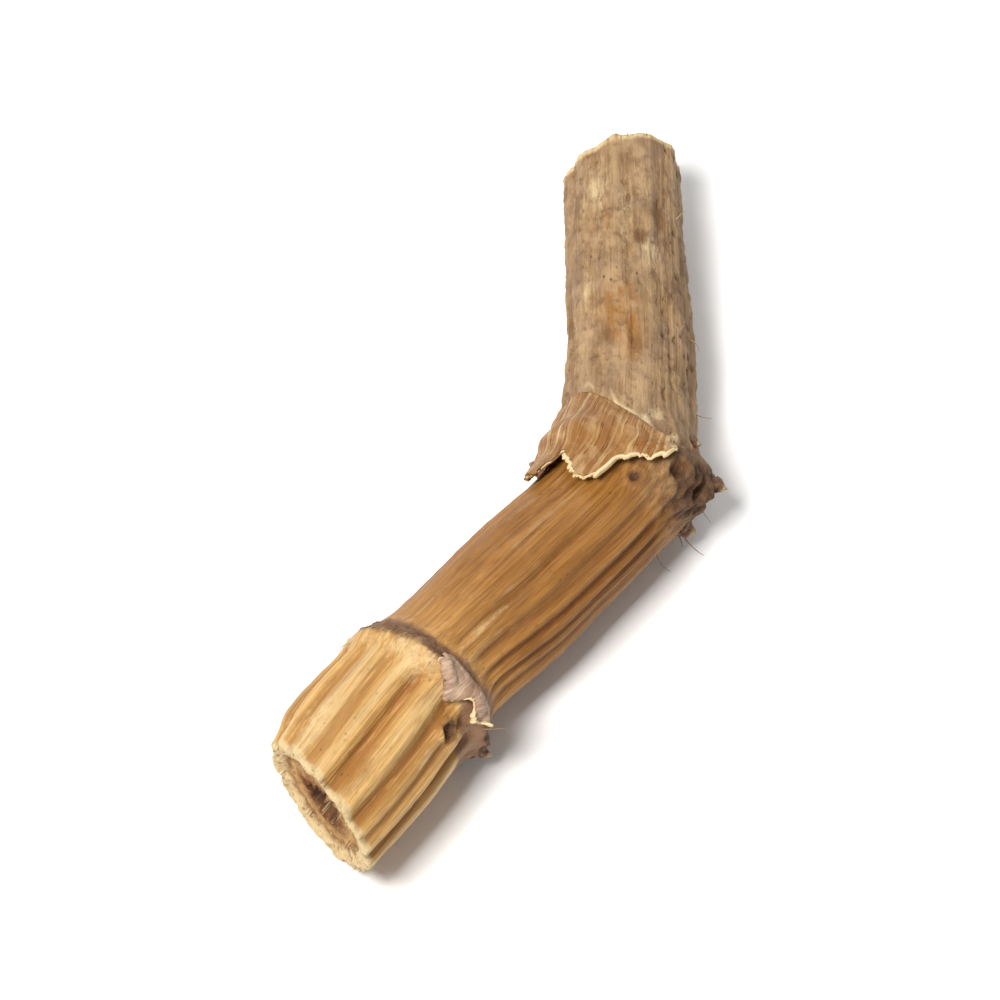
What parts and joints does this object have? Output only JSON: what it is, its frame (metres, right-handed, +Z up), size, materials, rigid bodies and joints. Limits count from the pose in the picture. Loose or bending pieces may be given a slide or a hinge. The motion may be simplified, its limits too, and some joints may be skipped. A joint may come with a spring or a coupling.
{
  "type": "couch grass rhizome",
  "caption": "Dried, cut piece of couch grass rhizome: a bent, furrowed straw-brown stem with ringed joints, root stubs, hollow cut ends and torn scale leaves.",
  "frame": {"origin": "on the ground, under the middle of the piece's bounding box", "axes": "+Z up from the ground that the piece lies on; +Y along its longest extent, from the slanted cut end to the far cut end, away from the viewer of the picture; +X to the viewer's right, the side with the root stubs"},
  "size_m": [0.0084, 0.0168, 0.003],
  "materials": {
    "rind": "dried straw rind, furrowed, satin",
    "scale_leaf": "papery dried scale leaf, matte"
  },
  "bodies": {
    "root": {"rhizome": "rind", "scale_leaf": "scale_leaf", "scale_leaf_remnant": "scale_leaf"}
  },
  "joints": []
}
